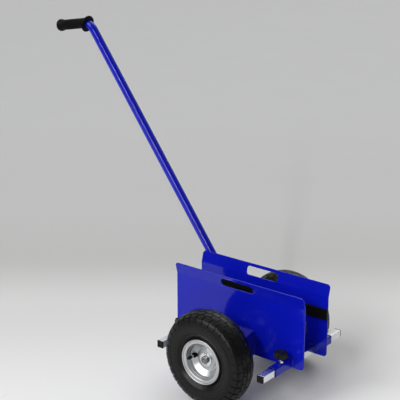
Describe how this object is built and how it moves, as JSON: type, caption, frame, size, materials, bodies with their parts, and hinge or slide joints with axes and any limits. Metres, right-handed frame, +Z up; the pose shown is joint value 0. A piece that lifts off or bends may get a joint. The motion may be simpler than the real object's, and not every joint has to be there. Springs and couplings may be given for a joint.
{
  "type": "door dolly",
  "caption": "Door dolly: flared steel side plates on pneumatic wheels slide along square cross bars and clamp with star knobs; a slanting drawbar with a rubber grip pulls it.",
  "frame": {"origin": "on the floor, midway between the two wheels' contact points", "axes": "+X along the side plates away from the drawbar, +Y towards the drawbar's side, +Z up"},
  "size_m": [0.9938, 0.445, 0.9307],
  "materials": {
    "blue_paint": "glossy ultramarine powder coat",
    "bright_zinc": "bright zinc plate",
    "rim_steel": "zinc-plated pressed sheet",
    "axle_steel": "drawn steel",
    "tyre_rubber": "matt black rubber",
    "rubber": "black rubber",
    "black_plastic": "moulded black plastic",
    "nylon": "natural nylon",
    "valve_metal": "nickel-plated brass"
  },
  "bodies": {
    "left_carriage": {"left_side_plate": "blue_paint", "left_bar_sleeves": "blue_paint", "left_clamp_nuts": "bright_zinc", "left_pad": "rubber", "left_axle_bracket": "blue_paint", "left_stub_axle": "axle_steel", "left_axle_washers": "bright_zinc", "left_split_pin": "bright_zinc", "drawbar_socket": "blue_paint", "socket_lugs": "blue_paint", "socket_nut": "bright_zinc"},
    "right_carriage": {"right_side_plate": "blue_paint", "right_bar_sleeves": "blue_paint", "right_clamp_nuts": "bright_zinc", "right_pad": "rubber", "right_axle_bracket": "blue_paint", "right_stub_axle": "axle_steel", "right_axle_washers": "bright_zinc", "right_split_pin": "bright_zinc"},
    "front_slide_bar": {"front_bar": "bright_zinc", "front_bar_caps": "black_plastic"},
    "rear_slide_bar": {"rear_bar": "bright_zinc", "rear_bar_caps": "black_plastic"},
    "left_wheel": {"left_tyre": "tyre_rubber", "left_inner_tube": "rubber", "left_rim": "rim_steel", "left_front_disc": "rim_steel", "left_back_disc": "rim_steel", "left_hub": "axle_steel", "left_bearing_cages": "nylon", "left_bearing_rollers": "axle_steel", "left_valve_stem": "valve_metal", "left_valve_cap": "black_plastic", "left_valve_grommet": "rubber"},
    "right_wheel": {"right_tyre": "tyre_rubber", "right_inner_tube": "rubber", "right_rim": "rim_steel", "right_front_disc": "rim_steel", "right_back_disc": "rim_steel", "right_hub": "axle_steel", "right_bearing_cages": "nylon", "right_bearing_rollers": "axle_steel", "right_valve_stem": "valve_metal", "right_valve_cap": "black_plastic", "right_valve_grommet": "rubber"},
    "pull_drawbar": {"lower_drawbar": "blue_paint", "upper_drawbar": "blue_paint", "drawbar_spigot": "bright_zinc", "seam_screws": "bright_zinc", "grip": "rubber"},
    "left_front_screw": {"left_front_clamp_stud": "bright_zinc"},
    "left_front_star": {"left_front_clamp_knob": "black_plastic"},
    "left_rear_screw": {"left_rear_clamp_stud": "bright_zinc"},
    "left_rear_star": {"left_rear_clamp_knob": "black_plastic"},
    "right_front_screw": {"right_front_clamp_stud": "bright_zinc"},
    "right_front_star": {"right_front_clamp_knob": "black_plastic"},
    "right_rear_screw": {"right_rear_clamp_stud": "bright_zinc"},
    "right_rear_star": {"right_rear_clamp_knob": "black_plastic"},
    "socket_screw": {"socket_stud": "bright_zinc"},
    "socket_star": {"socket_knob": "black_plastic"}
  },
  "joints": [
    {"name": "right_carriage_slide", "type": "slide", "parent": "left_carriage", "child": "right_carriage", "axis": [0, -1, 0], "range_m": [-0.085, 0.045]},
    {"name": "front_bar_slide", "type": "slide", "parent": "left_carriage", "child": "front_slide_bar", "axis": [0, 1, 0], "range_m": [-0.04, 0.04]},
    {"name": "rear_bar_slide", "type": "slide", "parent": "left_carriage", "child": "rear_slide_bar", "axis": [0, 1, 0], "range_m": [-0.04, 0.04]},
    {"name": "left_wheel_spin", "type": "hinge", "parent": "left_carriage", "child": "left_wheel", "pos_m": [0, 0.18, 0.13], "axis": [0, 1, 0], "continuous": true},
    {"name": "right_wheel_spin", "type": "hinge", "parent": "right_carriage", "child": "right_wheel", "pos_m": [0, -0.18, 0.13], "axis": [0, 1, 0], "continuous": true},
    {"name": "drawbar_slide", "type": "slide", "parent": "left_carriage", "child": "pull_drawbar", "axis": [-0.5976, 0, 0.8018], "range_m": [0, 0.09]},
    {"name": "left_front_screw_rise", "type": "slide", "parent": "left_carriage", "child": "left_front_screw", "axis": [0, 0, 1], "range_m": [0, 0.0025]},
    {"name": "left_front_knob_turn", "type": "hinge", "parent": "left_front_screw", "child": "left_front_star", "pos_m": [0.166, 0.0935, 0.148], "axis": [0, 0, 1], "range_deg": [0, 720]},
    {"name": "left_rear_screw_rise", "type": "slide", "parent": "left_carriage", "child": "left_rear_screw", "axis": [0, 0, 1], "range_m": [0, 0.0025]},
    {"name": "left_rear_knob_turn", "type": "hinge", "parent": "left_rear_screw", "child": "left_rear_star", "pos_m": [-0.166, 0.0935, 0.148], "axis": [0, 0, 1], "range_deg": [0, 720]},
    {"name": "right_front_screw_rise", "type": "slide", "parent": "right_carriage", "child": "right_front_screw", "axis": [0, 0, 1], "range_m": [0, 0.0025]},
    {"name": "right_front_knob_turn", "type": "hinge", "parent": "right_front_screw", "child": "right_front_star", "pos_m": [0.166, -0.0935, 0.148], "axis": [0, 0, 1], "range_deg": [0, 720]},
    {"name": "right_rear_screw_rise", "type": "slide", "parent": "right_carriage", "child": "right_rear_screw", "axis": [0, 0, 1], "range_m": [0, 0.0025]},
    {"name": "right_rear_knob_turn", "type": "hinge", "parent": "right_rear_screw", "child": "right_rear_star", "pos_m": [-0.166, -0.0935, 0.148], "axis": [0, 0, 1], "range_deg": [0, 720]},
    {"name": "socket_screw_rise", "type": "slide", "parent": "left_carriage", "child": "socket_screw", "axis": [0, 1, 0], "range_m": [0, 0.0025]},
    {"name": "socket_knob_turn", "type": "hinge", "parent": "socket_screw", "child": "socket_star", "pos_m": [-0.14208, 0.11131, 0.22569], "axis": [0, 1, 0], "range_deg": [0, 720]}
  ],
  "couplings": [
    {"joint": "left_front_screw_rise", "follows": "left_front_knob_turn", "m_per_rad": 0.00019894},
    {"joint": "left_rear_screw_rise", "follows": "left_rear_knob_turn", "m_per_rad": 0.00019894},
    {"joint": "right_front_screw_rise", "follows": "right_front_knob_turn", "m_per_rad": 0.00019894},
    {"joint": "right_rear_screw_rise", "follows": "right_rear_knob_turn", "m_per_rad": 0.00019894},
    {"joint": "socket_screw_rise", "follows": "socket_knob_turn", "m_per_rad": 0.00019894}
  ]
}
